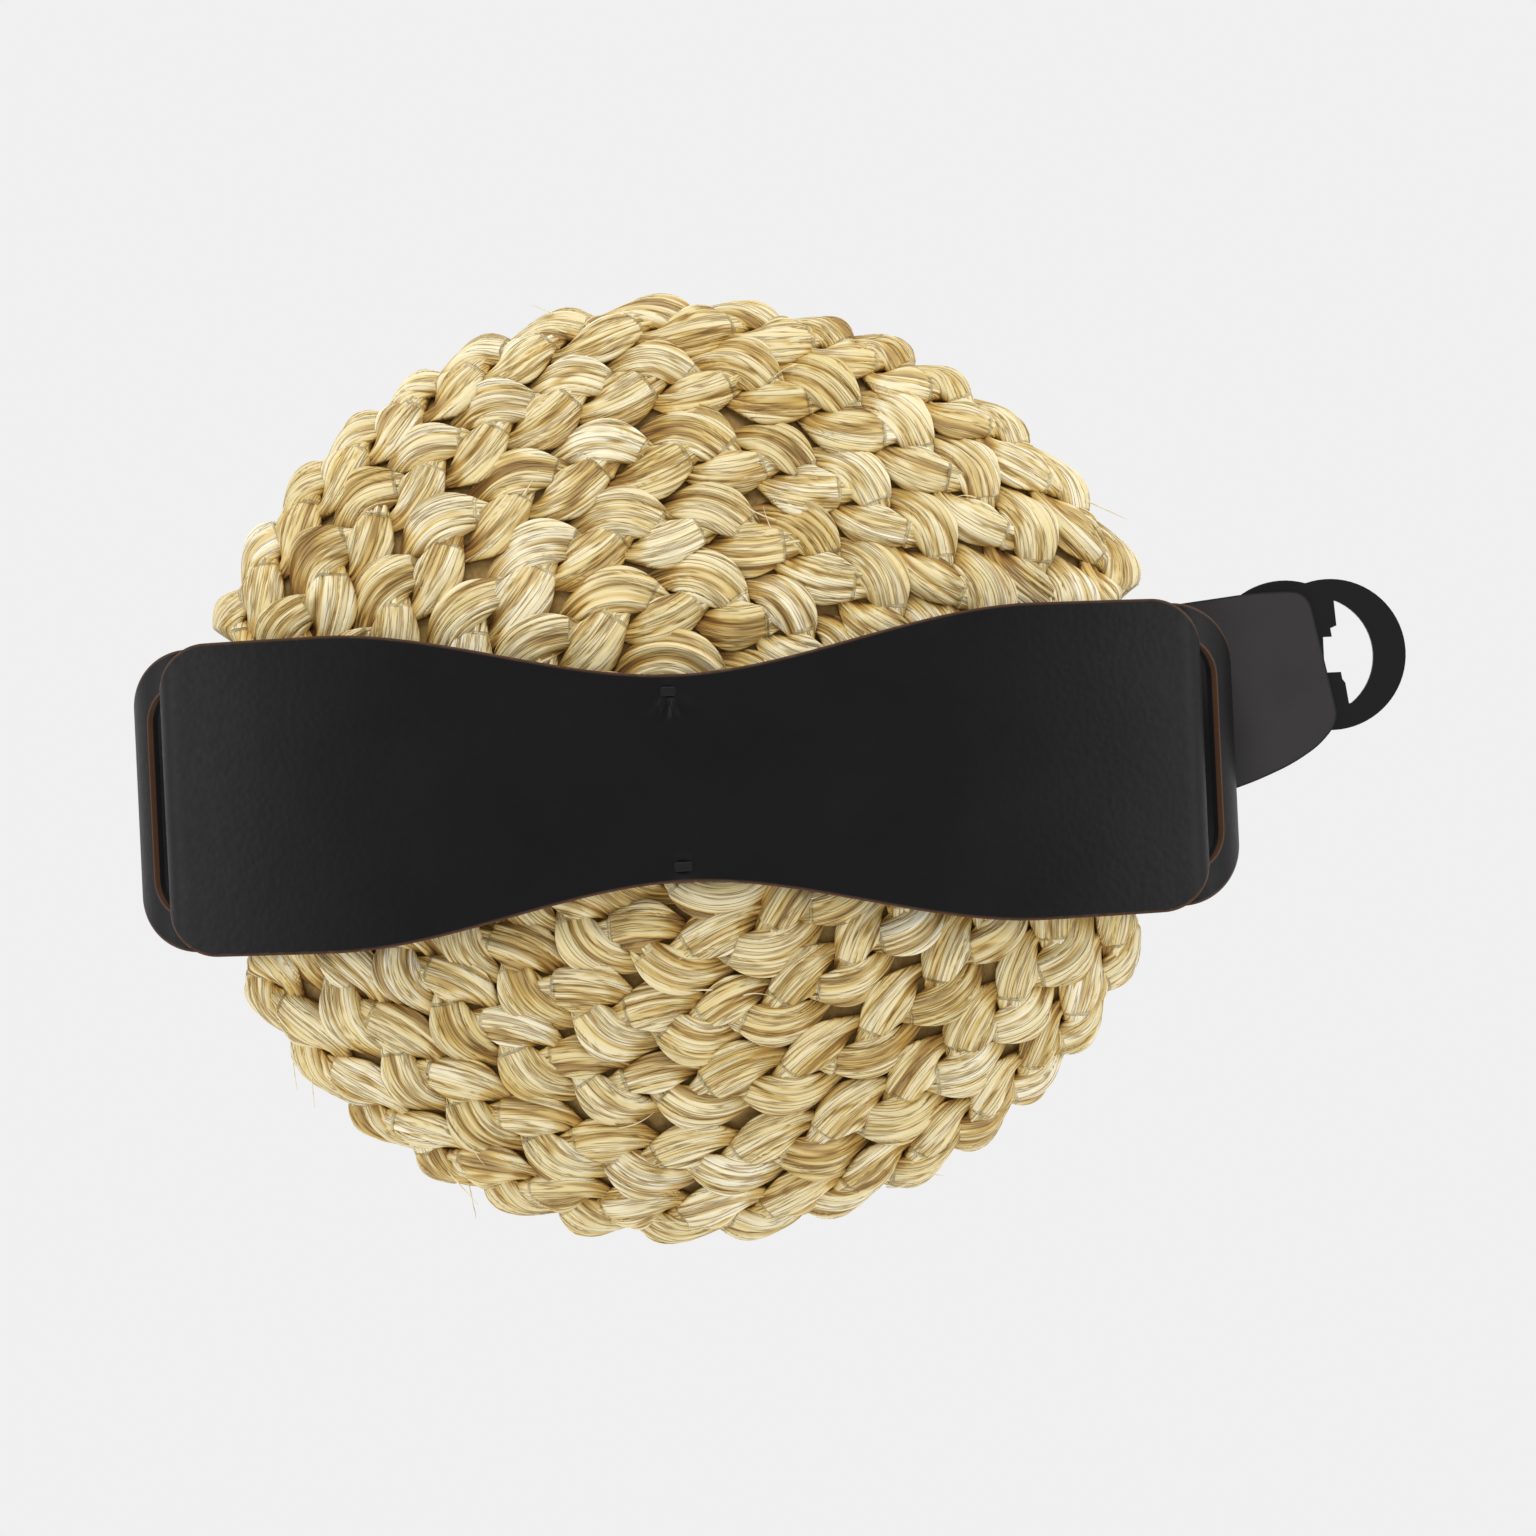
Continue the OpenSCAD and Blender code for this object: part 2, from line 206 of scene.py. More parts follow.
def makeStraw():
    # Corn-husk straw, dried and plaited by hand: matt, pale fibres, with painted shade that darkens them to
    # yellow in the crevices and creases
    material, tree = newMaterial("cornHuskStrawDried")
    uv = addNode(tree, "ShaderNodeUVMap", {"uv_map": "along"})
    tone = addNode(tree, "ShaderNodeAttribute", {"attribute_name": "leafTone"})
    depth = addNode(tree, "ShaderNodeAttribute", {"attribute_name": "depth"})
    # uv is in millimetres: u along the strand, v across it; fibres are about 0.3 mm apart
    stretch = addNode(tree, "ShaderNodeMapping", {"Scale": (0.1, 3.2, 1)}, {"Vector": uv.outputs[0]})
    streaks = addNode(tree, "ShaderNodeTexNoise", {"Scale": 1.0, "Detail": 5, "Roughness": 0.65},
                      {"Vector": stretch.outputs[0]})
    broad = addNode(tree, "ShaderNodeMapping", {"Scale": (0.05, 0.5, 1)}, {"Vector": uv.outputs[0]})
    patches = addNode(tree, "ShaderNodeTexNoise", {"Scale": 1.0, "Detail": 3}, {"Vector": broad.outputs[0]})
    streakColour = addNode(tree, "ShaderNodeValToRGB", links={"Fac": streaks.outputs[0]})
    setRamp(streakColour, [(0.26, "#dfcd98"), (0.38, "#f1e9cd"), (0.5, "#f9f5e8"), (0.7, "#ffffff")])
    leafColour = addNode(tree, "ShaderNodeValToRGB", links={"Fac": tone.outputs["Fac"]})
    setRamp(leafColour, [(0.0, "#e2d4a6"), (0.35, "#ede1bc"), (0.7, "#f4edd4"), (1.0, "#fdfbf4")])
    patchColour = addNode(tree, "ShaderNodeValToRGB", links={"Fac": patches.outputs[0]})
    setRamp(patchColour, [(0.35, "#ffffff"), (0.7, "#f0e2b2")])
    # Painted shade: the lower a point of the husk lies in the plait, the darker its colour
    recessShadeColour = addNode(tree, "ShaderNodeValToRGB", links={"Fac": depth.outputs["Fac"]})
    setRamp(recessShadeColour, [(0.0, "#b28c3c"), (0.35, "#e6d193"), (0.62, "#ffffff")])
    # Painted shade in the creases and low folds of the husk and on each strand's whole underside
    crease = addNode(tree, "ShaderNodeAttribute", {"attribute_name": "crease"})
    creaseShadeColour = addNode(tree, "ShaderNodeValToRGB", links={"Fac": crease.outputs["Fac"]})
    setRamp(creaseShadeColour, [(0.2, "#ffffff"), (0.55, "#e2cd92"), (1.0, "#a58340")])
    # Thin dark creases between the ribs of the husk, a millimetre apart: their darkness is painted shade, their
    # relief is a bump
    creaseLinePlace = addNode(tree, "ShaderNodeMapping", {"Scale": (0.055, 1.25, 1)}, {"Vector": uv.outputs[0]})
    creaseLines = addNode(tree, "ShaderNodeTexNoise", {"Scale": 1.0, "Detail": 2.5, "Roughness": 0.55},
                    {"Vector": creaseLinePlace.outputs[0]})
    creaseLineShadeColour = addNode(tree, "ShaderNodeValToRGB", links={"Fac": creaseLines.outputs[0]})
    setRamp(creaseLineShadeColour, [(0.455, "#ffffff"), (0.485, "#a38342"), (0.5, "#a38342"), (0.53, "#ffffff")])
    creaseLineHeight = addNode(tree, "ShaderNodeValToRGB", links={"Fac": creaseLines.outputs[0]})
    setRamp(creaseLineHeight, [(0.44, 1.0), (0.49, 0.0), (0.54, 1.0)])
    result = streakColour
    for layer, strength in ((leafColour, 0.9), (patchColour, 0.8), (recessShadeColour, 0.85), (creaseShadeColour, 0.8),
                            (creaseLineShadeColour, 0.7)):
        mix = addNode(tree, "ShaderNodeMix", {"data_type": "RGBA", "blend_type": "MULTIPLY"})
        mix.inputs[0].default_value = strength
        tree.links.new(result.outputs[2 if result.bl_idname == "ShaderNodeMix" else 0], mix.inputs[6])
        tree.links.new(layer.outputs[0], mix.inputs[7])
        result = mix
    ribs = addNode(tree, "ShaderNodeBump", {"Strength": 0.7, "Distance": 0.00022},
                   {"Height": creaseLineHeight.outputs[0]})
    bump = addNode(tree, "ShaderNodeBump", {"Strength": 0.5, "Distance": 0.0002},
                   {"Height": streaks.outputs[0], "Normal": ribs.outputs[0]})
    shader = addNode(tree, "ShaderNodeBsdfPrincipled", {"Roughness": 0.62, "Specular IOR Level": 0.35},
                     {"Base Color": result.outputs[2], "Normal": bump.outputs[0]})
    finishMaterial(tree, shader)
    return material


def makeLeather(name, colour, light, edgeColour, roughness, grain):
    # Coated split leather: a pressed pebble grain over a smooth film, with painted edges
    material, tree = newMaterial(name)
    uv = addNode(tree, "ShaderNodeUVMap", {"uv_map": "along"})
    pebble = addNode(tree, "ShaderNodeTexVoronoi",
                     {"Scale": 1 / grain["pebble"], "feature": "SMOOTH_F1",
                      "Smoothness": 0.6}, {"Vector": uv.outputs[0]})
    creases = addNode(tree, "ShaderNodeTexNoise",
                      {"Scale": 0.55 / grain["pebble"], "Detail": 6,
                       "Roughness": 0.6}, {"Vector": uv.outputs[0]})
    height = addNode(tree, "ShaderNodeMath", {"operation": "ADD"})
    tree.links.new(pebble.outputs["Distance"], height.inputs[0])
    tree.links.new(creases.outputs[0], height.inputs[1])
    bump = addNode(tree, "ShaderNodeBump", {"Strength": grain["strength"], "Distance": grain["depth"] * mm},
                   {"Height": height.outputs[0]})
    mottle = addNode(tree, "ShaderNodeTexNoise", {"Scale": 0.06, "Detail": 4}, {"Vector": uv.outputs[0]})
    mottleColour = addNode(tree, "ShaderNodeValToRGB", links={"Fac": mottle.outputs[0]})
    setRamp(mottleColour, [(0.3, colour), (0.75, light)])
    edge = addNode(tree, "ShaderNodeAttribute", {"attribute_name": "edge"})
    edgeMix = addNode(tree, "ShaderNodeMix", {"data_type": "RGBA"}, {0: edge.outputs["Fac"]})
    tree.links.new(mottleColour.outputs[0], edgeMix.inputs[6])
    edgeMix.inputs[7].default_value = hexToLinear(edgeColour)
    gloss = addNode(tree, "ShaderNodeMapRange", {"To Min": roughness - 0.06, "To Max": roughness + 0.1},
                    {"Value": creases.outputs[0]})
    shader = addNode(tree, "ShaderNodeBsdfPrincipled", {"IOR": 1.5, "Specular IOR Level": 0.13},
                     {"Base Color": edgeMix.outputs[2], "Normal": bump.outputs[0],
                      "Roughness": gloss.outputs[0]})
    finishMaterial(tree, shader)
    return material


def makePlateMetal():
    # Die-cast zinc under baked black enamel: even, satin, with a trace of orange peel
    material, tree = newMaterial("zincBlackEnamelBaked")
    place = addNode(tree, "ShaderNodeTexCoord")
    peel = addNode(tree, "ShaderNodeTexNoise", {"Scale": 1400, "Detail": 2},
                   {"Vector": place.outputs["Object"]})
    bump = addNode(tree, "ShaderNodeBump", {"Strength": 0.12, "Distance": 0.00005},
                   {"Height": peel.outputs[0]})
    gloss = addNode(tree, "ShaderNodeMapRange", {"To Min": 0.3, "To Max": 0.42}, {"Value": peel.outputs[0]})
    shader = addNode(tree, "ShaderNodeBsdfPrincipled",
                     {"Base Color": hexToLinear("#0b0b0c"), "IOR": 1.5, "Specular IOR Level": 0.25},
                     {"Normal": bump.outputs[0], "Roughness": gloss.outputs[0]})
    finishMaterial(tree, shader)
    return material


def makeSteel():
    # Nickelled steel wire and rivets: bright metal with fine drawing marks
    material, tree = newMaterial("steelNickelledDrawn")
    place = addNode(tree, "ShaderNodeTexCoord")
    stretch = addNode(tree, "ShaderNodeMapping", {"Scale": (3000, 200, 3000)},
                      {"Vector": place.outputs["Object"]})
    marks = addNode(tree, "ShaderNodeTexNoise", {"Scale": 1.0, "Detail": 3}, {"Vector": stretch.outputs[0]})
    gloss = addNode(tree, "ShaderNodeMapRange", {"To Min": 0.25, "To Max": 0.42}, {"Value": marks.outputs[0]})
    shader = addNode(tree, "ShaderNodeBsdfPrincipled",
                     {"Base Color": hexToLinear("#b9b7b0"), "Metallic": 1.0},
                     {"Roughness": gloss.outputs[0]})
    finishMaterial(tree, shader)
    return material


def makeWoven(name, dark, light, across, along):
    # Woven rubber-core webbing or twisted thread: matt, with ribs across it
    material, tree = newMaterial(name)
    uv = addNode(tree, "ShaderNodeUVMap", {"uv_map": "along"})
    ribs = addNode(tree, "ShaderNodeTexWave",
                   {"Scale": 0.314 / along, "bands_direction": "X", "Distortion": 0.4,
                    "Detail": 1}, {"Vector": uv.outputs[0]})
    yarns = addNode(tree, "ShaderNodeTexWave",
                    {"Scale": 0.314 / across, "bands_direction": "Y", "Distortion": 0.3,
                     "Detail": 1}, {"Vector": uv.outputs[0]})
    weave = addNode(tree, "ShaderNodeMath", {"operation": "MULTIPLY"})
    tree.links.new(ribs.outputs["Fac"], weave.inputs[0])
    tree.links.new(yarns.outputs["Fac"], weave.inputs[1])
    colour = addNode(tree, "ShaderNodeValToRGB", links={"Fac": weave.outputs[0]})
    setRamp(colour, [(0.0, dark), (0.8, light)])
    bump = addNode(tree, "ShaderNodeBump", {"Strength": 0.6, "Distance": 0.0002},
                   {"Height": weave.outputs[0]})
    shader = addNode(tree, "ShaderNodeBsdfPrincipled",
                     {"Roughness": 0.8, "Specular IOR Level": 0.2, "Sheen Weight": 0.15},
                     {"Base Color": colour.outputs[0], "Normal": bump.outputs[0]})
    finishMaterial(tree, shader)
    return material


def makePlain(name, dark, light, scale, roughness):
    # Foam, fibreboard: a fine two-tone speckle
    material, tree = newMaterial(name)
    place = addNode(tree, "ShaderNodeTexCoord")
    speckle = addNode(tree, "ShaderNodeTexNoise", {"Scale": scale, "Detail": 4, "Roughness": 0.7},
                      {"Vector": place.outputs["Object"]})
    colour = addNode(tree, "ShaderNodeValToRGB", links={"Fac": speckle.outputs[0]})
    setRamp(colour, [(0.3, dark), (0.7, light)])
    bump = addNode(tree, "ShaderNodeBump", {"Strength": 0.3, "Distance": 0.0002},
                   {"Height": speckle.outputs[0]})
    shader = addNode(tree, "ShaderNodeBsdfPrincipled", {"Roughness": roughness},
                     {"Base Color": colour.outputs[0], "Normal": bump.outputs[0]})
    finishMaterial(tree, shader)
    return material


straw = makeStraw()
grainFine = {"pebble": 1.1, "strength": 0.26, "depth": 0.12}
grainSmooth = {"pebble": 0.8, "strength": 0.12, "depth": 0.05}
leather = makeLeather("leatherBlackGrained", "#0b0b0c", "#111112", "#5a3f2e", 0.43, grainFine)
lining = makeLeather("liningLeatherCharcoal", "#333131", "#3b3939", "#1c1b1c", 0.5, grainSmooth)
plateMetal = makePlateMetal()
steel = makeSteel()
webbing = makeWoven("elasticWebbingWoven", "#0c0c0d", "#2a2a2c", 0.5, 1.0)
thread = makeWoven("polyesterThreadTwisted", "#101011", "#2e2d2e", 0.3, 0.4)
foam = makePlain("polyurethaneFoamCut", "#cfcbb8", "#e6e3d4", 1800, 0.9)
suede = makePlain("liningSplitSuede", "#2f2d2d", "#413e3e", 900, 0.85)
stitchThread = makePlain("polyesterThreadWaxed", "#0e0e0f", "#29282a", 2500, 0.6)
board = makePlain("fibreboardPressed", "#8d744f", "#b0946a", 900, 0.8)
print("materials ready")


# ---- straw plait

plaitSettings = {
    "pitch": 11.9, "startRho": 3.5, "rings": 7, "jog": 0.9, "period": 38.0,
    "pressHalf": 23.9, "pressFade": 2.6, "pressFrom": 67.5, "press": 0.74,
    "turnRho": 69, "turnR": 20, "turnDrop": 0.4, "turnLean": 0.8,
    "sink": 1.55, "groundRises": (-1.5, -2.2), "groundRho": 81,
    "swing": 3.7, "edgeRun": 0.6, "lift": 0.85, "halfWidth": 2.5, "widthSwing": 1.45, "halfThick": 1.0,
    "around": 56, "perPeriod": 76, "parts": 2,
    "pleats": 0.26, "ovalX": 1.02, "ovalY": 0.97, "centre": (1.0, -1.5),
}
domeRadius = 152.6
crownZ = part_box("straw_coil")[1][2] / mm
domeZ = crownZ - domeRadius


def domePoint(rho, theta, rise):
    # A place on the dome: rho along its surface from the crown, rise along the outward normal
    k = plaitSettings
    middle = domeRadius - k["lift"] - k["sink"]
    # Past the turn the outermost row rolls down over the rim
    over = np.clip(rho - k["turnRho"], 0, k["turnR"])
    tip = np.arccos(1 - over / k["turnR"])
    angle = (rho - over * over / (2 * k["turnR"])) / middle
    lean = angle + tip * k["turnLean"]
    r = middle * np.sin(angle) + rise * np.sin(lean)
    z = domeZ + middle * np.cos(angle) - k["turnDrop"] * over * np.sin(tip) + rise * np.cos(lean)
    return r, z


def clearOfBars(x, y):
    # Under the strap's ends the rim is pressed in, so that it clears the bars and the rolls round them
    k = plaitSettings
    inside = np.clip((k["pressHalf"] + k["pressFade"] - np.abs(y - k["centre"][1])) / k["pressFade"], 0, 1)
    over = np.maximum(np.abs(x) - k["pressFrom"], 0)
    return x - np.sign(x) * over * inside * k["press"]


def makeStrand(strandNumber, part):
    k = plaitSettings
    # Length along the coil as a table against its angle: each ring steps out to the next under the strap
    thetas = np.linspace(0, 2 * math.pi * k["rings"] - 0.02, 6000)
    ring = np.floor(thetas / (2 * math.pi) + 0.5)
    off = (thetas / (2 * math.pi) - ring) * 2 * math.pi / k["jog"]
    step = np.clip(off + 0.5, 0, 1)
    rhos = k["startRho"] + k["pitch"] * np.maximum(ring - 1 + step * step * (3 - 2 * step), 0)
    lengths = np.concatenate([[0], np.cumsum(np.diff(thetas) * (rhos[1:] + rhos[:-1]) / 2)])
    total = lengths[-1]
    partLength = total / k["parts"]
    rows = int(partLength / k["period"] * k["perPeriod"])
    bm = bmesh.new()
    bm.loops.layers.uv.new("along")
    bmesh.ops.create_grid(bm, x_segments=rows, y_segments=k["around"], size=0.5, calc_uvs=True)
    mesh = bpy.data.meshes.new("strand")
    bm.to_mesh(mesh)
    bm.free()
    flat = getCoords(mesh)
    t = flat[:, 0] + 0.5
    around = flat[:, 1] + 0.5
    along = (part + t) * partLength
    seed = strandNumber * 17 + 3
    theta = np.interp(along, lengths, thetas)
    rho = np.interp(theta, thetas, rhos)
    # The maker's hand: the plait's beat and width wander a little
    beat = along / k["period"] + 0.10 * smoothNoise(along / 41, along * 0, 5)
    phase = 2 * math.pi * (beat + strandNumber / 3)
    leaf = np.floor(phase / math.pi - 0.05)
    leafTone = smoothNoise(leaf * 7.31 + 0.5, leaf * 0 + strandNumber, 9)
    swing = k["swing"] * (1 + 0.10 * smoothNoise(along / 23, along * 0 + 2, seed))
    across = swing * np.tanh(k["edgeRun"] * np.sin(phase)) / math.tanh(k["edgeRun"])
    lift = k["lift"] * np.sin(2 * phase)
    leafWide = 1 + 0.16 * smoothNoise(leaf * 3.77 + 0.5, leaf * 0 + 4, seed)
    halfWidth = (k["halfWidth"] + k["widthSwing"] * np.sin(2 * phase - 0.45)) * leafWide
    halfThick = k["halfThick"] * (1 + 0.18 * np.sin(2 * phase))
    # The outline round a strand: three quarters of the points lie on its upper side
    share = 0.76
    top = around < share
    turn = np.where(top, math.pi * (1 - around / share), -math.pi * (around - share) / (1 - share))
    side = np.cos(turn)
    sideSoft = np.sign(side) * np.abs(side) ** 0.9
    up = np.sin(turn)
    crown = np.sign(up) * np.abs(up) ** np.where(top, 0.85, 0.5)
    localU = halfWidth * sideSoft
    localW = halfThick * crown
    # Lengthwise folds, pleats and sharp creases in the husk, different on each leaf
    lane = localU + 0.7 * smoothNoise(along / 11, leaf * 1.7, seed + 1)
    folds = smoothNoise(lane * 0.75, along / 19 + leaf * 5.3, seed + 2)
    pleats = smoothNoise(lane * 1.7 + 4, along / 12 + leaf * 3.1, seed + 3)
    wide = np.abs(smoothNoise(lane * 0.95 + 3, along / 17 + leaf * 7.7, seed + 6))
    narrow = np.abs(smoothNoise(lane * 2.1 + 8, along / 10 + leaf * 2.9, seed + 7))
    crease = np.exp(-(wide / 0.16) ** 2) + 0.6 * np.exp(-(narrow / 0.2) ** 2)
    relief = np.where(top, k["pleats"] * (1.5 * folds + 0.8 * pleats - 1.25 * crease), 0)
    localW = localW + relief * np.clip(up * 2.2, 0, 1)
    # Each leaf is rolled a little about its own length
    roll = 0.22 * np.sin(phase * 2 + 0.6) + 0.12 * smoothNoise(leaf * 5.1 + 0.5, leaf * 0 + 8, seed)
    rolledU = localU * np.cos(roll) - localW * np.sin(roll)
    rolledW = localU * np.sin(roll) + localW * np.cos(roll)
    # The strand slants as it crosses, so its width lies partly along the plait
    steep = k["edgeRun"] / math.tanh(k["edgeRun"]) / np.cosh(k["edgeRun"] * np.sin(phase)) ** 2
    slant = np.arctan(swing * 2 * math.pi / k["period"] * np.cos(phase) * steep)
    u = across + rolledU * np.cos(slant)
    forward = -rolledU * np.sin(slant)
    rise = lift + rolledW
    rhoHere = rho + u
    thetaHere = theta + forward / np.maximum(rho, 3)
    wobble = 0.5 * smoothNoise(along / 35, along * 0 + 6, 21)
    r, z = domePoint(np.abs(rhoHere + wobble), thetaHere, rise)
    r = np.where(rhoHere + wobble < 0, -r, r)
    cx, cy = k["centre"]
    fade = np.clip(1 - np.abs(r) / 70, 0, 1)
    x = (r * np.cos(thetaHere)) * k["ovalX"] + cx * fade
    y = (r * np.sin(thetaHere)) * k["ovalY"] + cy * fade
    x = clearOfBars(x, y)
    setCoords(mesh, np.stack([x, y, z], axis=1) * mm)
    setAttribute(mesh, "leafTone", np.clip(0.5 + 0.42 * leafTone, 0, 1))
    # Painted shade for the colour: how low each point lies in the plait, where low is darker
    setAttribute(mesh, "depth", np.clip((rise + 0.6) / 2.4, 0, 1))
    # Painted shade for the colour: the creases, the low folds and the whole underside of each strand
    setAttribute(mesh, "crease", np.clip(np.where(top, 0.75 * crease - 0.5 * folds, 1), 0, 1))
    uvs = mesh.uv_layers["along"].data
    corners = np.empty(len(mesh.loops), dtype=np.int32)
    mesh.loops.foreach_get("vertex_index", corners)
    flatUv = np.stack([along[corners] + strandNumber * 37.3,
                       (localU + np.where(top, 0, 9) + leaf * 11.3)[corners]], axis=1)
    uvs.foreach_set("uv", flatUv.astype(np.float32).ravel())
    bm = bmesh.new()
    bm.from_mesh(mesh)
    bmesh.ops.remove_doubles(bm, verts=bm.verts, dist=1e-7)
    # Both cut ends are closed with a fan
    open_ = [e for e in bm.edges if e.is_boundary]
    bmesh.ops.holes_fill(bm, edges=open_, sides=k["around"] + 4)
    bmesh.ops.recalc_face_normals(bm, faces=bm.faces)
    bm.to_mesh(mesh)
    bm.free()
    piece = pieceFromMesh(f"strawStrand{strandNumber + 1}{'ab'[part]}", mesh, straw)
    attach(piece, "medallion")
    return piece


def makeStrawBase():
    # The plaits' backs, seen only in the gaps, coloured dark golden as painted shade
    bm = bmesh.new()
    k = plaitSettings
    rhos = np.linspace(0, k["groundRho"], 40)
    upper = [domePoint(rho, 0, k["groundRises"][0]) for rho in rhos]
    lower = [domePoint(rho, 0, k["groundRises"][1]) for rho in reversed(rhos)]
    loop = [(float(r), float(z)) for r, z in upper + lower]
    verts = [bm.verts.new((x * mm, 0, z * mm)) for x, z in loop]
    edges = [bm.edges.new(pair) for pair in zip(verts, verts[1:])]
    bmesh.ops.spin(bm, geom=verts + edges, cent=(0, 0, 0), axis=(0, 0, 1), angle=2 * math.pi, steps=96,
                   use_merge=True)
    bmesh.ops.remove_doubles(bm, verts=bm.verts, dist=1e-6)
    bmesh.ops.recalc_face_normals(bm, faces=bm.faces)
    for vert in bm.verts:
        vert.co.x *= plaitSettings["ovalX"]
        vert.co.y *= plaitSettings["ovalY"]
        vert.co.x = clearOfBars(vert.co.x / mm, vert.co.y / mm) * mm
    piece = pieceFromBmesh("strawGround", bm,
                           makePlain("strawBacksPaintedShade", "#8a6a33", "#b9975a", 700, 0.85))
    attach(piece, "medallion")
    return piece


# Loose ends of husk that spring out of the plait: distance from the crown and direction
fibreSettings = {
    "rim": ((77, 29), (78, 33), (77, 213), (78, 217), (77, 238), (78, 241), (78, 292), (77, 296), (78, 300),
            (78, 101)),
    "extra": 26, "length": (3.5, 8.0), "radius": 0.17, "rows": 10, "around": 5,
}


def makeFibres():
    k = fibreSettings
    rng = np.random.default_rng(12)
    places = [(rho, math.radians(angle), 0.5) for rho, angle in k["rim"]]
    places += [(rng.uniform(28, 79), rng.uniform(0, 2 * math.pi), 0) for _ in range(k["extra"])]
    whole = bmesh.new()
    whole.loops.layers.uv.new("along")
    for rho, theta, outward in places:
        bm = bmesh.new()
        bmesh.ops.create_grid(bm, x_segments=k["rows"], y_segments=k["around"], size=0.5)
        length = rng.uniform(*k["length"])
        heading = rng.uniform(-0.7, 0.7) + (0 if rng.random() < 0.5 else math.pi)
        bend = rng.uniform(-1.1, 1.1)
        for vert in bm.verts:
            t = vert.co.x + 0.5
            turn = 2 * math.pi * (vert.co.y + 0.5)
            slim = k["radius"] * (1 - 0.75 * t)
            way = heading + bend * t * 0.5
            run = length * t
            u = run * math.sin(way) + slim * math.cos(turn)
            rise = 0.9 + 0.9 * t * (1.3 - t) + slim * math.sin(turn)
            r, z = domePoint(min(rho + u, 80.6), theta, rise)
            r += outward * run
            at = theta + run * math.cos(way) / rho
            x = r * math.cos(at) * plaitSettings["ovalX"]
            y = r * math.sin(at) * plaitSettings["ovalY"]
            vert.co = (clearOfBars(x, y) * mm, y * mm, z * mm)
        bmesh.ops.remove_doubles(bm, verts=bm.verts, dist=1e-7)
        bmesh.ops.holes_fill(bm, edges=[e for e in bm.edges if e.is_boundary], sides=8)
        bmesh.ops.recalc_face_normals(bm, faces=bm.faces)
        part = bpy.data.meshes.new("fibre")
        bm.to_mesh(part)
        bm.free()
        whole.from_mesh(part)
        bpy.data.meshes.remove(part)
    piece = pieceFromBmesh("looseFibres", whole,
                           makePlain("cornHuskFibreLoose", "#d9c58c", "#f4ecd0", 600, 0.7))
    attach(piece, "medallion")
    return piece


strands = [makeStrand(n, part) for n in range(3) for part in range(plaitSettings["parts"])]
strawBase = makeStrawBase()
fibres = makeFibres()
for piece in strands + [strawBase, fibres]:
    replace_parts(piece, "straw_coil")
print("straw ready")


# ---- leather, webbing and plates: flat cut shapes laid along a path

def arcStretch(centre, radius, fromDeg, toDeg):
    # A bend of the path, turning clockwise, with its normal pointing away from the centre
    return {"centre": centre, "radius": radius, "from": fromDeg,
            "length": radius * math.radians(fromDeg - toDeg)}


def lineStretch(start, end, normal):
    return {"start": start, "end": end, "normal": normal, "length": math.dist(start, end)}


def alongPath(stretches, s):
    # The place in XZ and the outward normal at a distance s along the path
    for stretch in stretches:
        if s <= stretch["length"] or stretch is stretches[-1]:
            break
        s -= stretch["length"]
    if "radius" in stretch:
        angle = math.radians(stretch["from"]) - s / stretch["radius"]
        normal = (math.cos(angle), math.sin(angle))
        return [c + stretch["radius"] * n for c, n in zip(stretch["centre"], normal)], normal
    share = s / stretch["length"]
    return [a + (b - a) * share for a, b in zip(stretch["start"], stretch["end"])], stretch["normal"]


def arcPoints(centre, radius, fromDeg, toDeg, count):
    return [(centre[0] + radius * math.cos(math.radians(a)), centre[1] + radius * math.sin(math.radians(a)))
            for a in np.linspace(fromDeg, toDeg, count)]


def roundCorners(points, radius, count=6):
    rounded = []
    for i, point in enumerate(points):
        here = Vector(point)
        before, after = Vector(points[i - 1]) - here, Vector(points[(i + 1) % len(points)]) - here
        reach = min(radius, before.length * 0.45, after.length * 0.45)
        a, b = here + before.normalized() * reach, here + after.normalized() * reach
        for t in np.linspace(0, 1, count):
            rounded.append(tuple((1 - t) ** 2 * a + 2 * t * (1 - t) * here + t * t * b))
    return rounded


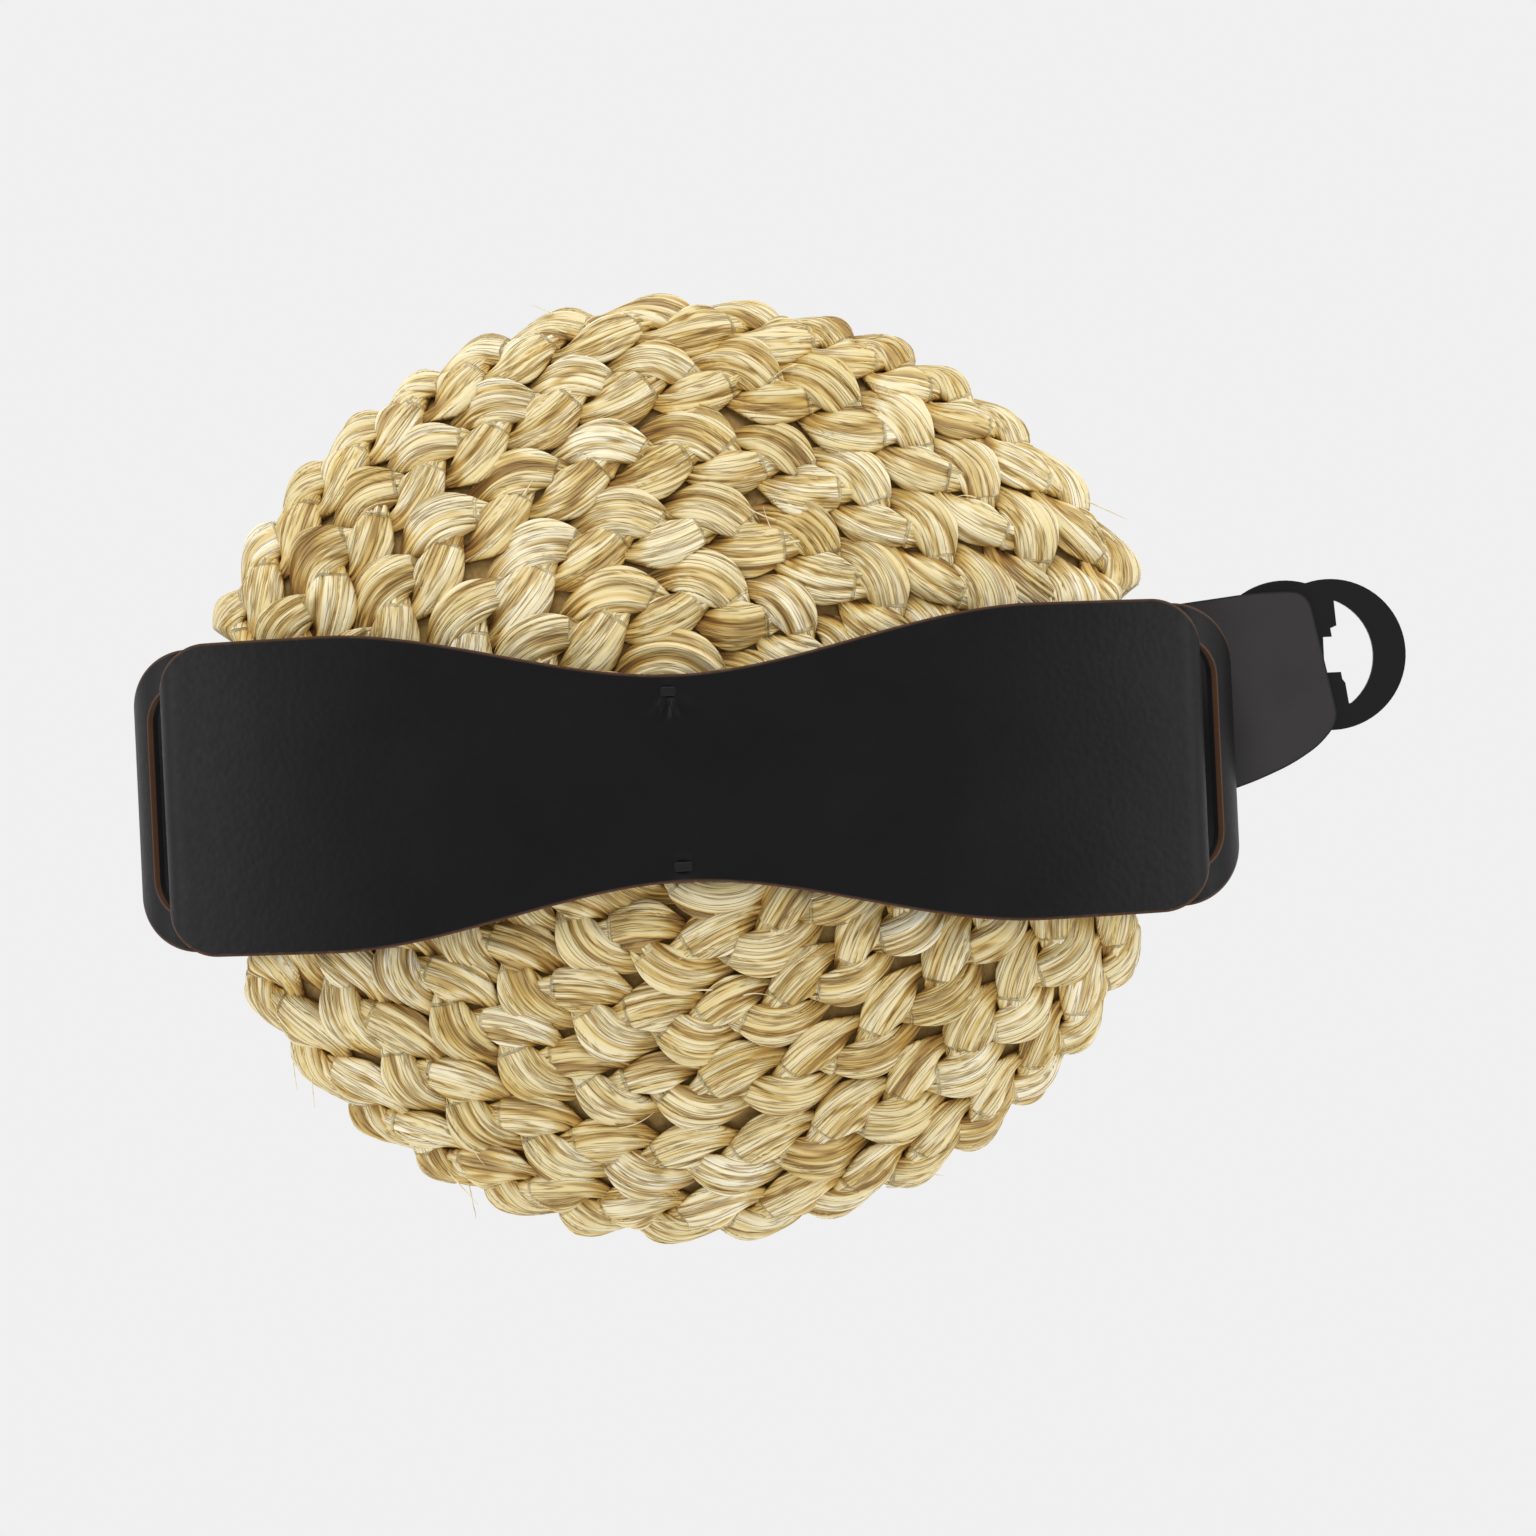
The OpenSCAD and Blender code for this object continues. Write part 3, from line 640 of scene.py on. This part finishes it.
def cutSheet(name, outline, place, thickness, material, holes=(), step=(1.0, 2.0), edgeRound=0.3, rim=0.5):
    # Fills a flat outline, cuts it into strips that can bend, lays it on its path and gives it thickness
    bm = bmesh.new()
    uvLayer = bm.loops.layers.uv.new("along")
    edgeLayer = bm.verts.layers.float.new("edge")
    for loop in [outline] + list(holes):
        verts = [bm.verts.new((s, y, 0)) for s, y in loop]
        for a, b in zip(verts, verts[1:] + verts[:1]):
            bm.edges.new((a, b))
    bmesh.ops.triangle_fill(bm, use_beauty=True, edges=bm.edges[:], normal=(0, 0, 1))
    bmesh.ops.inset_region(bm, faces=bm.faces[:], thickness=rim, use_boundary=True, use_even_offset=False)
    for vert in {v for e in bm.edges if e.is_boundary for v in e.verts}:
        vert[edgeLayer] = 1.0
    lows = [min(v.co[i] for v in bm.verts) for i in (0, 1)]
    highs = [max(v.co[i] for v in bm.verts) for i in (0, 1)]
    for axis in (0, 1):
        count = max(1, round((highs[axis] - lows[axis]) / step[axis]))
        normal = (1, 0, 0) if axis == 0 else (0, 1, 0)
        for value in np.linspace(lows[axis], highs[axis], count + 1)[1:-1]:
            centre = (value + 1e-4, 0, 0) if axis == 0 else (0, value + 1e-4, 0)
            bmesh.ops.bisect_plane(bm, geom=bm.verts[:] + bm.edges[:] + bm.faces[:], plane_co=centre,
                                   plane_no=normal, dist=1e-5)
    for face in bm.faces:
        for corner in face.loops:
            corner[uvLayer].uv = corner.vert.co.xy
    normals = {}
    for vert in bm.verts:
        where, normals[vert] = place(vert.co.x, vert.co.y)
        vert.co = Vector(where) * mm
    bm.normal_update()
    facing = sum(f.normal.dot(Vector(normals[f.verts[0]])) * f.calc_area() for f in bm.faces)
    if facing < 0:
        bmesh.ops.reverse_faces(bm, faces=bm.faces[:])
    piece = pieceFromBmesh(name, bm, material)
    wall = piece.modifiers.new("thickness", "SOLIDIFY")
    wall.thickness = thickness * mm
    wall.offset = -1
    wall.use_even_offset = False
    soften = piece.modifiers.new("edges", "BEVEL")
    soften.width = edgeRound * mm
    soften.segments = 3
    soften.limit_method = "ANGLE"
    soften.angle_limit = math.radians(55)
    return piece


def jointPlace(name):
    joints = frame["record"]["behaviour"]["joints"]
    return [v / mm for v in next(j for j in joints if j["name"] == name)["pos_m"]]


# The bow strap's side view comes from its CAD box: a crown arc, a turn round the bar and a tongue
bowSettings = {
    "foldR": 6.0, "waist": 15.5, "half": 24.0, "flare": 54, "corner": 8.0, "tongueHalf": 16.5, "tongueIn": 50,
    "layer": 0.9, "waves": 0.14, "step": ((1.5, 2.0), (0.8, 0.8)), "tackPlaces": ((-1.4, 13.0),
        (-0.4, -13.2)), "tackDip": 0.75,
}
bowLow, bowHigh = [[v / mm for v in corner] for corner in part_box("bow_face")]
strapY = (bowLow[1] + bowHigh[1]) / 2
foldX = bowHigh[0] - bowSettings["foldR"]
foldZ = bowLow[2] + bowSettings["foldR"]
foldDrop = foldZ - bowHigh[2]
strapR = (bowSettings["foldR"] ** 2 - foldX ** 2 - foldDrop ** 2) / (2 * (foldDrop + bowSettings["foldR"]))
strapZ = bowHigh[2] - strapR
foldLean = math.degrees(math.atan2(foldX, foldZ - strapZ))


def bowPath(depth):
    return [
        arcStretch((0, strapZ), strapR - depth, 90, 90 - foldLean),
        arcStretch((foldX, foldZ), bowSettings["foldR"] - depth, 90 - foldLean, -90),
        lineStretch((foldX, bowLow[2] + depth), (bowSettings["tongueIn"], bowLow[2] + depth), (0, -1)),
    ]


def bowHalf(s, path):
    k = bowSettings
    (x, z), normal = alongPath(path, s)
    if z < foldZ or normal[1] < 0:
        return k["tongueHalf"]
    t = min(x / k["flare"], 1)
    half = k["waist"] + (k["half"] - k["waist"]) * t * t * (3 - 2 * t)
    over = x - (bowHigh[0] - k["corner"])
    if over > 0:
        half = max(k["half"] - k["corner"] + math.sqrt(max(k["corner"] ** 2 - over ** 2, 0)), k["tongueHalf"])
    return half


def makeBowLayer(name, depth, material):
    k = bowSettings
    path = bowPath(depth)
    total = sum(stretch["length"] for stretch in path)
    places = np.linspace(0, total - 3, 130)
    half = [(s, bowHalf(s, path)) for s in places]
    right = half + arcPoints((total - 4, k["tongueHalf"] - 4), 4, 90, 0, 6)
    upper = [(-s, y) for s, y in reversed(right[1:])] + right
    outline = upper + [(s, -y) for s, y in reversed(upper)]

    def place(s, y):
        (x, z), normal = alongPath(path, abs(s))
        side = 1 if s >= 0 else -1
        rise = k["waves"] * float(smoothNoise(s / 21 + 40, y / 13 + 9,
                                              31)) * min(1, abs(foldX - x) / 12 + 0.15)
        for tackS, tackY in k["tackPlaces"]:
            away = math.hypot(s - tackS, (y - tackY) * 1.2)
            turn = math.atan2(y - tackY, s - tackS)
            inward = -math.sin(turn) * (1 if tackY > 0 else -1)
            rise -= k["tackDip"] * math.exp(-(away / 2.0) ** 2)
            if tackY > 0:
                rise += 0.42 * math.sin(turn * 8) * math.exp(-((away - 3.6) / 2.0) ** 2) * max(inward, 0)
        if name == "bowLining":
            rise = min(rise, 0)
        return (side * (x + normal[0] * rise), strapY + y, z + normal[1] * rise), (side * normal[0], 0,
                                                                                   normal[1])

    piece = cutSheet(name, outline, place, k["layer"], material, step=k["step"][depth == 0], edgeRound=0.32)
    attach(piece, "medallion")
    return piece


bowFace = makeBowLayer("bowFace", 0.0, leather)
bowLining = makeBowLayer("bowLining", bowSettings["layer"], lining)
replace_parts(bowFace, "bow_face")
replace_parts(bowLining, "bow_lining")
print("bow ready")

# Arms: a slotted end swept down from the bar, the knee and the short flat lap
armSettings = {
    "sweepR": 13.7, "layer": 0.9, "headHalf": 23.5, "corner": 10.5, "bendHalf": 19.0, "rollR": 2.1,
    "slotHalf": 18.0, "slotLength": 6.9, "slotCorner": 6.0, "lapX": 66,
    "rollThick": 0.8, "rollTurn": (100, -245),
}
bendBottom = {"left": 1.0, "right": 4.1}
barPlace = jointPlace("right_arm_swing")
kneePlace = jointPlace("right_arm_bend")
wallX = kneePlace[0]
kneeZ = kneePlace[2]
outerR = armSettings["sweepR"] + armSettings["layer"]
sweepX = wallX - outerR
sweepLean = math.degrees(math.atan2(barPlace[2] - kneeZ, barPlace[0] - sweepX))


def sideMap(side, path, depthWave=0.0):
    sign = 1 if side == "right" else -1

    def place(s, y):
        (x, z), normal = alongPath(path, s)
        rise = depthWave * float(smoothNoise(s / 9 + 7, y / 8 + 3, 41))
        return (sign * (x + normal[0] * rise), strapY + y, z + normal[1] * rise), (sign * normal[0], 0,
                                                                                   normal[1])

    return place


def makeArmLayer(side, name, depth, material):
    k = armSettings
    bendR = kneeZ - bendBottom[side]
    path = [
        arcStretch((sweepX, kneeZ), outerR - depth, sweepLean, 0),
        arcStretch((wallX - bendR, kneeZ), bendR - depth, 0, -90),
        lineStretch((wallX - bendR, bendBottom[side] + depth), (k["lapX"], bendBottom[side] + depth),
                    (0, -1)),
    ]

    def sAt(x):
        # Distance along the path of the place straight under x on the outer surface
        return (outerR - depth) * (math.radians(sweepLean) - math.acos(min(1, (x - sweepX) / outerR)))

    cornerX = wallX - k["corner"]
    upper = []
    for angle in np.linspace(sweepLean, 0, 34):
        x = sweepX + outerR * math.cos(math.radians(angle))
        over = max(0, x - cornerX)
        y = k["headHalf"] - k["corner"] + math.sqrt(max(0, k["corner"] ** 2 - over ** 2))
        upper.append((sAt(x), y))
    # Round the bend the strip widens again under the slot
    before = path[0]["length"]
    for angle in np.linspace(10, 90, 12):
        over = max(0, k["corner"] - bendR * (1 - math.cos(math.radians(angle))))
        y = k["headHalf"] - k["corner"] + math.sqrt(max(0, k["corner"] ** 2 - over ** 2))
        upper.append((before + (bendR - depth) * math.radians(angle), min(k["bendHalf"], y)))
    total = sum(stretch["length"] for stretch in path)
    upper += [(total - 1, k["bendHalf"]), (total, k["bendHalf"] - 1)]
    outline = upper + [(s, -y) for s, y in reversed(upper)]
    slotX = barPlace[0] + k["rollR"] + 0.04
    roundX, roundY = slotX + k["slotLength"] - k["slotCorner"], k["slotHalf"] - k["slotCorner"]
    hole = [(slotX, k["slotHalf"])] + arcPoints((roundX, roundY), k["slotCorner"], 90, 0, 9)
    hole = [(sAt(x), y) for x, y in hole]
    hole = hole + [(s, -y) for s, y in reversed(hole)]
    piece = cutSheet(name, outline, sideMap(side, path), k["layer"], material, holes=[hole], step=(0.8, 3.0),
                     edgeRound=0.34, rim=0.45)
    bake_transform(piece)
    return piece


def makeRoll(side):
    # The end of the leather, rolled round the steel bar
    k = armSettings
    path = [arcStretch((barPlace[0], barPlace[2]), k["rollR"], *k["rollTurn"])]
    total = path[0]["length"]
    outline = [(0, -k["headHalf"]), (total, -k["headHalf"]), (total, k["headHalf"]), (0, k["headHalf"])]
    piece = cutSheet(side + "Roll", outline, sideMap(side, path), k["rollThick"], leather, step=(0.5, 4.0),
                     edgeRound=0.3, rim=0.4)
    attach(piece, side + "_head")
    return piece


for side in ("left", "right"):
    face = makeArmLayer(side, side + "ArmFace", 0.0, leather)
    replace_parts(face, side + "_head_face", side + "_bend_face")
    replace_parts(makeRoll(side), side + "_head_face")
    inner = makeArmLayer(side, side + "ArmLining", armSettings["layer"], lining)
    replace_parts(inner, side + "_head_lining", side + "_bend_lining")
print("arms ready")


# ---- reaches: elastics, tabs and the closure plate, all cut flat

def flatMap(bottomZ, wave=0.0):
    def place(s, y):
        rise = wave * float(smoothNoise(s / 11 + 2, y / 9 + 5, 51))
        return (s, y, bottomZ + abs(rise)), (0, 0, -1)
    return place


def flatPiece(name, outline, bottomZ, thickness, material, body, node, holes=(), edgeRound=0.25,
              wave=0.0, step=(2.0, 2.0)):
    piece = cutSheet(name, outline, flatMap(bottomZ, wave), thickness, material, holes=holes, step=step,
                     edgeRound=edgeRound, rim=0.4)
    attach(piece, body)
    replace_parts(piece, node)
    return piece


def circleHole(centre, radius):
    return arcPoints(centre, radius, 0, 348, 30)


def boxInMm(node):
    return [[v / mm for v in corner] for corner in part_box(node)]


reachSettings = {"leather": 0.9, "rivetR": 1.8, "rivetHeadR": 3.5, "armHalf": 13.0, "tabMid": 4.0}
elasticLow, elasticHigh = boxInMm("left_elastic")
flatPiece("leftElastic", [
    (elasticLow[0], strapY - reachSettings["armHalf"]), (elasticHigh[0],
                                                         reachSettings["tabMid"] - reachSettings["armHalf"]),
    (elasticHigh[0], reachSettings["tabMid"] + reachSettings["armHalf"]), (elasticLow[0],
        strapY + reachSettings["armHalf"]),
], elasticLow[2], elasticHigh[2] - elasticLow[2], webbing, "left_reach", "left_elastic")
elasticLow, elasticHigh = boxInMm("right_elastic")
flatPiece("rightElastic", [
    (elasticLow[0], elasticLow[1]), (elasticHigh[0], elasticLow[1]), (elasticHigh[0],
        elasticHigh[1]), (elasticLow[0], elasticHigh[1]),
], elasticLow[2], elasticHigh[2] - elasticLow[2], webbing, "right_reach", "right_elastic")

pivot = jointPlace("closure_plate_swivel")[:2]
tabLow, tabHigh = boxInMm("tab_face")
tabOutline = roundCorners([
    (tabLow[0], 17.5), (78, 22.3), (92, 23.7), (100.2, 23.6), (104.3, 2.7),
    (101.1, -1.1), (96.4, -4), (90, -6.6), (78, -10), (tabLow[0], -9.5),
], 3)
flatPiece("tabFace", tabOutline, tabLow[2], reachSettings["leather"], leather, "left_reach",
          "tab_face", holes=[circleHole(pivot, reachSettings["rivetR"])])
flatPiece("tabLining", tabOutline, tabHigh[2] + 0.36, reachSettings["leather"] - 0.36, lining, "left_reach",
          "tab_lining", step=(1.2, 1.2))

hookLow, hookHigh = boxInMm("hook_tab_face")
hookPivot = jointPlace("hook_swivel")[:2]
noseR = hookPivot[0] - hookLow[0]
nose = [(x, y) for x, y in arcPoints(hookPivot, noseR, 100, 260, 14)]
hookUpper = [(hookHigh[0], hookHigh[1]), (30, hookHigh[1])]
hookLower = [(30, hookLow[1]), (hookHigh[0], hookLow[1])]
hookOutline = hookUpper + nose + hookLower
for name, node, material, slot in (("hookTabFace", "hook_tab_face", leather, "leather"),
                                   ("hookTabLining", "hook_tab_lining", lining, "lining")):
    low = boxInMm(node)[0]
    flatPiece(name, hookOutline, low[2], reachSettings["leather"], material, "right_reach", node,
              holes=[circleHole(hookPivot, reachSettings["rivetHeadR" if name == "hookTabFace" else "rivetR"])])


def makeClosurePlate():
    # Two overlapping round lobes, with a half-round eye notched on its straight side
    k = {"eye": (103.6, 13.3), "eyeR": 12.1, "lobeR": 12.0, "openR": 9.6, "straightX": 105.3, "lean": 5.9,
         "notchX": 102.6, "notchHalf": 2.85}
    low, high = boxInMm("closure_plate")
    lobe, eye = pivot, k["eye"]
    apart = math.dist(lobe, eye)
    along = (apart ** 2 + k["lobeR"] ** 2 - k["eyeR"] ** 2) / (2 * apart)
    tilt = math.degrees(math.atan2(eye[1] - lobe[1], eye[0] - lobe[0]))
    lobeTurn = math.degrees(math.acos(along / k["lobeR"]))
    eyeTurn = math.degrees(math.acos((apart - along) / k["eyeR"]))
    outline = arcPoints(eye, k["eyeR"], -180 + eyeTurn + tilt, 180 - eyeTurn + tilt, 44)[:-1]
    outline += arcPoints(lobe, k["lobeR"], lobeTurn + tilt, 360 - lobeTurn + tilt, 44)[:-1]
    centre = (eye[0] - 2.7, eye[1] - 0.2)

    def straight(y):
        return k["straightX"] - math.tan(math.radians(k["lean"])) * (y - eye[1])

    ends = []
    for angle in np.linspace(-89, 89, 90):
        x, y = arcPoints(centre, k["openR"], angle, angle, 1)[0]
        if x > straight(y) + 0.3:
            ends.append((x, y))
    ends = ends[::3] + [ends[-1]]
    first, last = ends[0], ends[-1]
    hole = ends + [
        (straight(last[1]) + 0.15, last[1] + 0.1), (straight(eye[1] + 4.6), eye[1] + 4.6),
        (straight(eye[1] + 4.6) - 1.0, eye[1] + 4.2), (straight(eye[1] + 2.85) - 1.0, eye[1] + k["notchHalf"]),
        (k["notchX"], eye[1] + k["notchHalf"]), (k["notchX"], eye[1] - k["notchHalf"]),
        (straight(eye[1] - 2.85) - 0.4, eye[1] - k["notchHalf"]), (straight(eye[1] - 4.6) - 0.4, eye[1] - 4.0),
        (straight(eye[1] - 5), eye[1] - 4.6), (straight(first[1]) + 0.15, first[1] - 0.1)]
    piece = flatPiece("closurePlate", outline, low[2], high[2] - low[2], plateMetal, "closure",
                      "closure_plate", holes=[hole, circleHole(pivot, reachSettings["rivetHeadR"] + 0.05)],
                      edgeRound=0.36, step=(1.5, 1.5))
    return piece


makeClosurePlate()
print("reaches ready")


# ---- tacks: three turns of thread, pulled down into the leather

def makeTack(name, s, y, node):
    k = {"length": 3.3, "threadR": 0.26, "turns": 3, "spread": 0.42}
    bm = bmesh.new()
    for turn in range(k["turns"]):
        offset = (turn - 1) * k["spread"]
        ring = bmesh.ops.create_circle(bm, segments=10, radius=k["threadR"] * mm)["verts"]
        start = Vector((s - k["length"] / 2, strapY + y + offset, bowHigh[2] - 1.3)) * mm
        bmesh.ops.translate(bm, verts=ring, vec=start)
        edges = list({e for v in ring for e in v.link_edges})
        bmesh.ops.spin(bm, geom=ring + edges, cent=Vector((s, strapY + y + offset, bowHigh[2] - 2.1)) * mm,
                       axis=(0, 1, 0),
                       angle=math.radians(125 + 4 * turn), steps=18)
    bmesh.ops.recalc_face_normals(bm, faces=bm.faces)
    piece = pieceFromBmesh(name, bm, thread)
    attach(piece, "medallion")
    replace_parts(piece, node)


makeTack("upperTack", -1.4, 13.0, "upper_tack")
makeTack("lowerTack", -0.4, -13.2, "lower_tack")
print("tacks ready")


# ---- finish

def paintCadNodes():
    finishes = {
        "foam_core": foam, "backing_board": board, "lining_disc": suede,
        "left_tongue_rivets": steel, "right_tongue_rivets": steel, "closure_rivet": steel, "hook_rivet": steel,
        "left_bar_rod": steel, "right_bar_rod": steel, "hook_plate": plateMetal,
        "left_lap_stitches": stitchThread, "right_lap_stitches": stitchThread,
        "tab_lap_stitches": stitchThread, "hook_lap_stitches": stitchThread,
    }
    for name, node in frame["nodes"].items():
        if name in finishes:
            for slot in node.material_slots:
                slot.material = finishes[name]
    soften = frame["nodes"]["hook_plate"].modifiers.new("edges", "BEVEL")
    soften.width = 0.2 * mm
    soften.segments = 2
    soften.limit_method = "ANGLE"
    soften.angle_limit = math.radians(50)


paintCadNodes()
print("finish")
